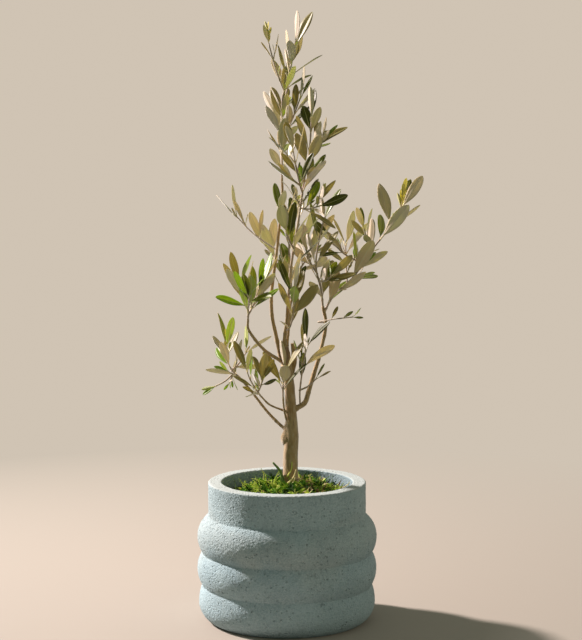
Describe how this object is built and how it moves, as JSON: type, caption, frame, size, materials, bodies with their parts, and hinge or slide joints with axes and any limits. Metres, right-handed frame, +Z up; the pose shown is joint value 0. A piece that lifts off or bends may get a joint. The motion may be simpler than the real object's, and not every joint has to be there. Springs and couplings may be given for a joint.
{
  "type": "olive bonsai in a planter",
  "caption": "Slender young olive tree with narrow grey-green leaves, growing from moss in a round concrete planter with swelling bands.",
  "frame": {"origin": "centre of the planter's flat underside, which stands on the floor or table", "axes": "+Z up along the trunk; -Y is the front of the plant, +X its right-hand side seen from the front"},
  "size_m": [0.2264, 0.1816, 0.6059],
  "materials": {
    "concrete": "matte blue-grey concrete with small pits and specks",
    "soil": "dark damp soil",
    "moss": "matte bright green moss",
    "bark": "grey-brown smooth young bark",
    "leaves": "satin grey-green leaves, paler underneath"
  },
  "bodies": {
    "root": {"pot": "concrete", "soil": "soil", "moss": "moss", "trunk": "bark", "left_leader": "bark", "centre_leader": "bark", "back_leader": "bark", "right_bough": "bark", "left_middle_bough": "bark", "left_low_bough": "bark", "left_low_twin": "bark", "front_twig": "bark", "leaves_crown_left": "leaves", "leaves_crown_centre": "leaves", "leaves_right_long": "leaves", "leaves_right_inner": "leaves", "leaves_left_thin": "leaves", "leaves_left_cluster": "leaves", "leaves_left_low": "leaves", "leaves_left_twin": "leaves", "leaves_front": "leaves", "leaves_centre_front": "leaves", "leaves_inner_right": "leaves", "leaves_right_low": "leaves", "leaves_back": "leaves"}
  },
  "joints": []
}
